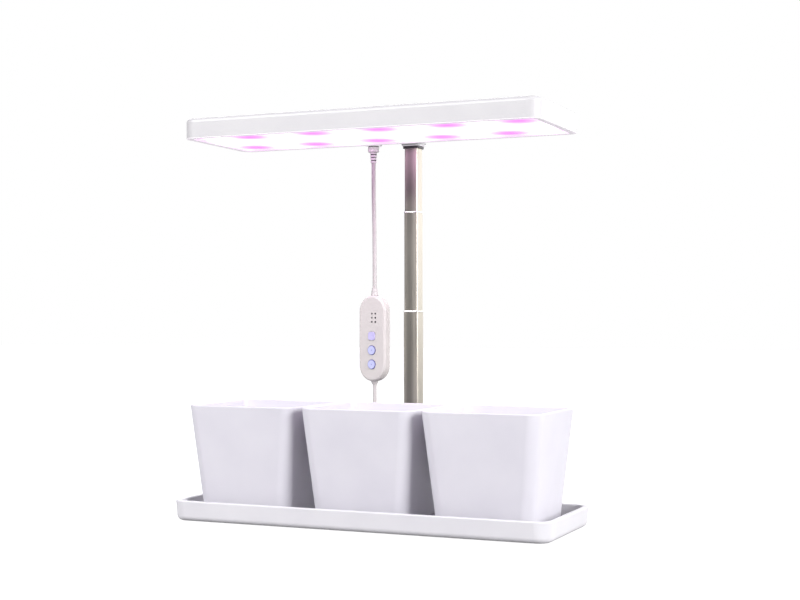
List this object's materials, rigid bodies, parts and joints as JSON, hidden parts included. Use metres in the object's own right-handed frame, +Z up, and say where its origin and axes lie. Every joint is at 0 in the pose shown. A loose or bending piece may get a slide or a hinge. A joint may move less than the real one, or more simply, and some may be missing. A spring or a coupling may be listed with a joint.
{
  "type": "countertop grow garden",
  "caption": "Countertop garden with an LED grow-light bar on a telescoping pole over square plant pots in a drip tray, with a hand controller on its cord.",
  "frame": {"origin": "on the table, under the middle of the drip tray", "axes": "+Z up, +X along the row of pots to the viewer's right, -Y the front, so +Y is the side with the pole and the cord"},
  "size_m": [0.4028, 0.2495, 0.4099],
  "materials": {
    "pot_plastic": "satin",
    "tray_plastic": "satin",
    "lamp_plastic": "satin",
    "diffuser_sheet": "frosted",
    "pole_steel": "brushed",
    "screw_steel": "plain",
    "plug_metal": "polished",
    "dark_plastic": "satin",
    "inner_plastic": "satin",
    "control_plastic": "satin",
    "button_plastic": "satin",
    "lens_plastic": "clear",
    "cord_jacket": "satin",
    "gland_plastic": "satin",
    "pad_rubber": "matte",
    "board_resin": "satin",
    "white_led": "clear",
    "grow_led": "clear",
    "tongue_plastic": "matte"
  },
  "bodies": {
    "base": {"drip_tray": "tray_plastic", "tray_pads": "pad_rubber", "pole_foot_plug": "inner_plastic", "pole_foot_screw": "screw_steel", "pole_foot_washer": "screw_steel", "lower_tube": "pole_steel", "standing_cord": "cord_jacket", "cord_coil": "cord_jacket", "cord_tail": "cord_jacket", "plug_body": "cord_jacket", "plug_shell": "plug_metal", "plug_tongue": "tongue_plastic"},
    "middle_stage": {"middle_tube": "pole_steel", "middle_glide": "inner_plastic"},
    "lamp": {"upper_tube": "pole_steel", "upper_glide": "inner_plastic", "pole_collar": "dark_plastic", "pole_head_plug": "inner_plastic", "pole_head_screw": "screw_steel", "pole_head_washer": "screw_steel", "lamp_housing": "lamp_plastic", "lamp_bezel": "lamp_plastic", "diffuser": "diffuser_sheet", "led_board": "board_resin", "white_leds": "white_led", "grow_leds": "grow_led", "board_screws": "screw_steel", "cord_gland": "gland_plastic", "upper_cord": "cord_jacket", "hanging_cord": "cord_jacket", "controller_front": "control_plastic", "controller_rear": "control_plastic", "controller_board": "board_resin", "indicator_lenses": "lens_plastic", "tact_switches": "dark_plastic", "controller_screws": "screw_steel", "controller_top_relief": "cord_jacket", "controller_bottom_relief": "cord_jacket"},
    "power": {"power_button": "button_plastic"},
    "brightness": {"brightness_button": "button_plastic"},
    "timer": {"timer_button": "button_plastic"},
    "pot_left": {"plant_pot_left": "pot_plastic"},
    "pot_middle": {"plant_pot_middle": "pot_plastic"},
    "pot_right": {"plant_pot_right": "pot_plastic"}
  },
  "joints": [
    {"name": "middle_slide", "type": "slide", "parent": "base", "child": "middle_stage", "axis": [0, 0, 1], "range_m": [-0.06, 0.08], "deforming": ["standing_cord"]},
    {"name": "upper_slide", "type": "slide", "parent": "middle_stage", "child": "lamp", "axis": [0, 0, 1], "range_m": [-0.054, 0.11], "deforming": ["hanging_cord"]},
    {"name": "power_press", "type": "slide", "parent": "lamp", "child": "power", "axis": [0.1908, 0.9816, 0], "range_m": [0, 0.0006], "stiffness_N_per_m": 400},
    {"name": "brightness_press", "type": "slide", "parent": "lamp", "child": "brightness", "axis": [0.1908, 0.9816, 0], "range_m": [0, 0.0006], "stiffness_N_per_m": 400},
    {"name": "timer_press", "type": "slide", "parent": "lamp", "child": "timer", "axis": [0.1908, 0.9816, 0], "range_m": [0, 0.0006], "stiffness_N_per_m": 400},
    {"name": "pot_left_lift", "type": "slide", "parent": "base", "child": "pot_left", "axis": [0, 0, 1], "range_m": [0, 0.08]},
    {"name": "pot_middle_lift", "type": "slide", "parent": "base", "child": "pot_middle", "axis": [0, 0, 1], "range_m": [0, 0.08]},
    {"name": "pot_right_lift", "type": "slide", "parent": "base", "child": "pot_right", "axis": [0, 0, 1], "range_m": [0, 0.08]}
  ]
}
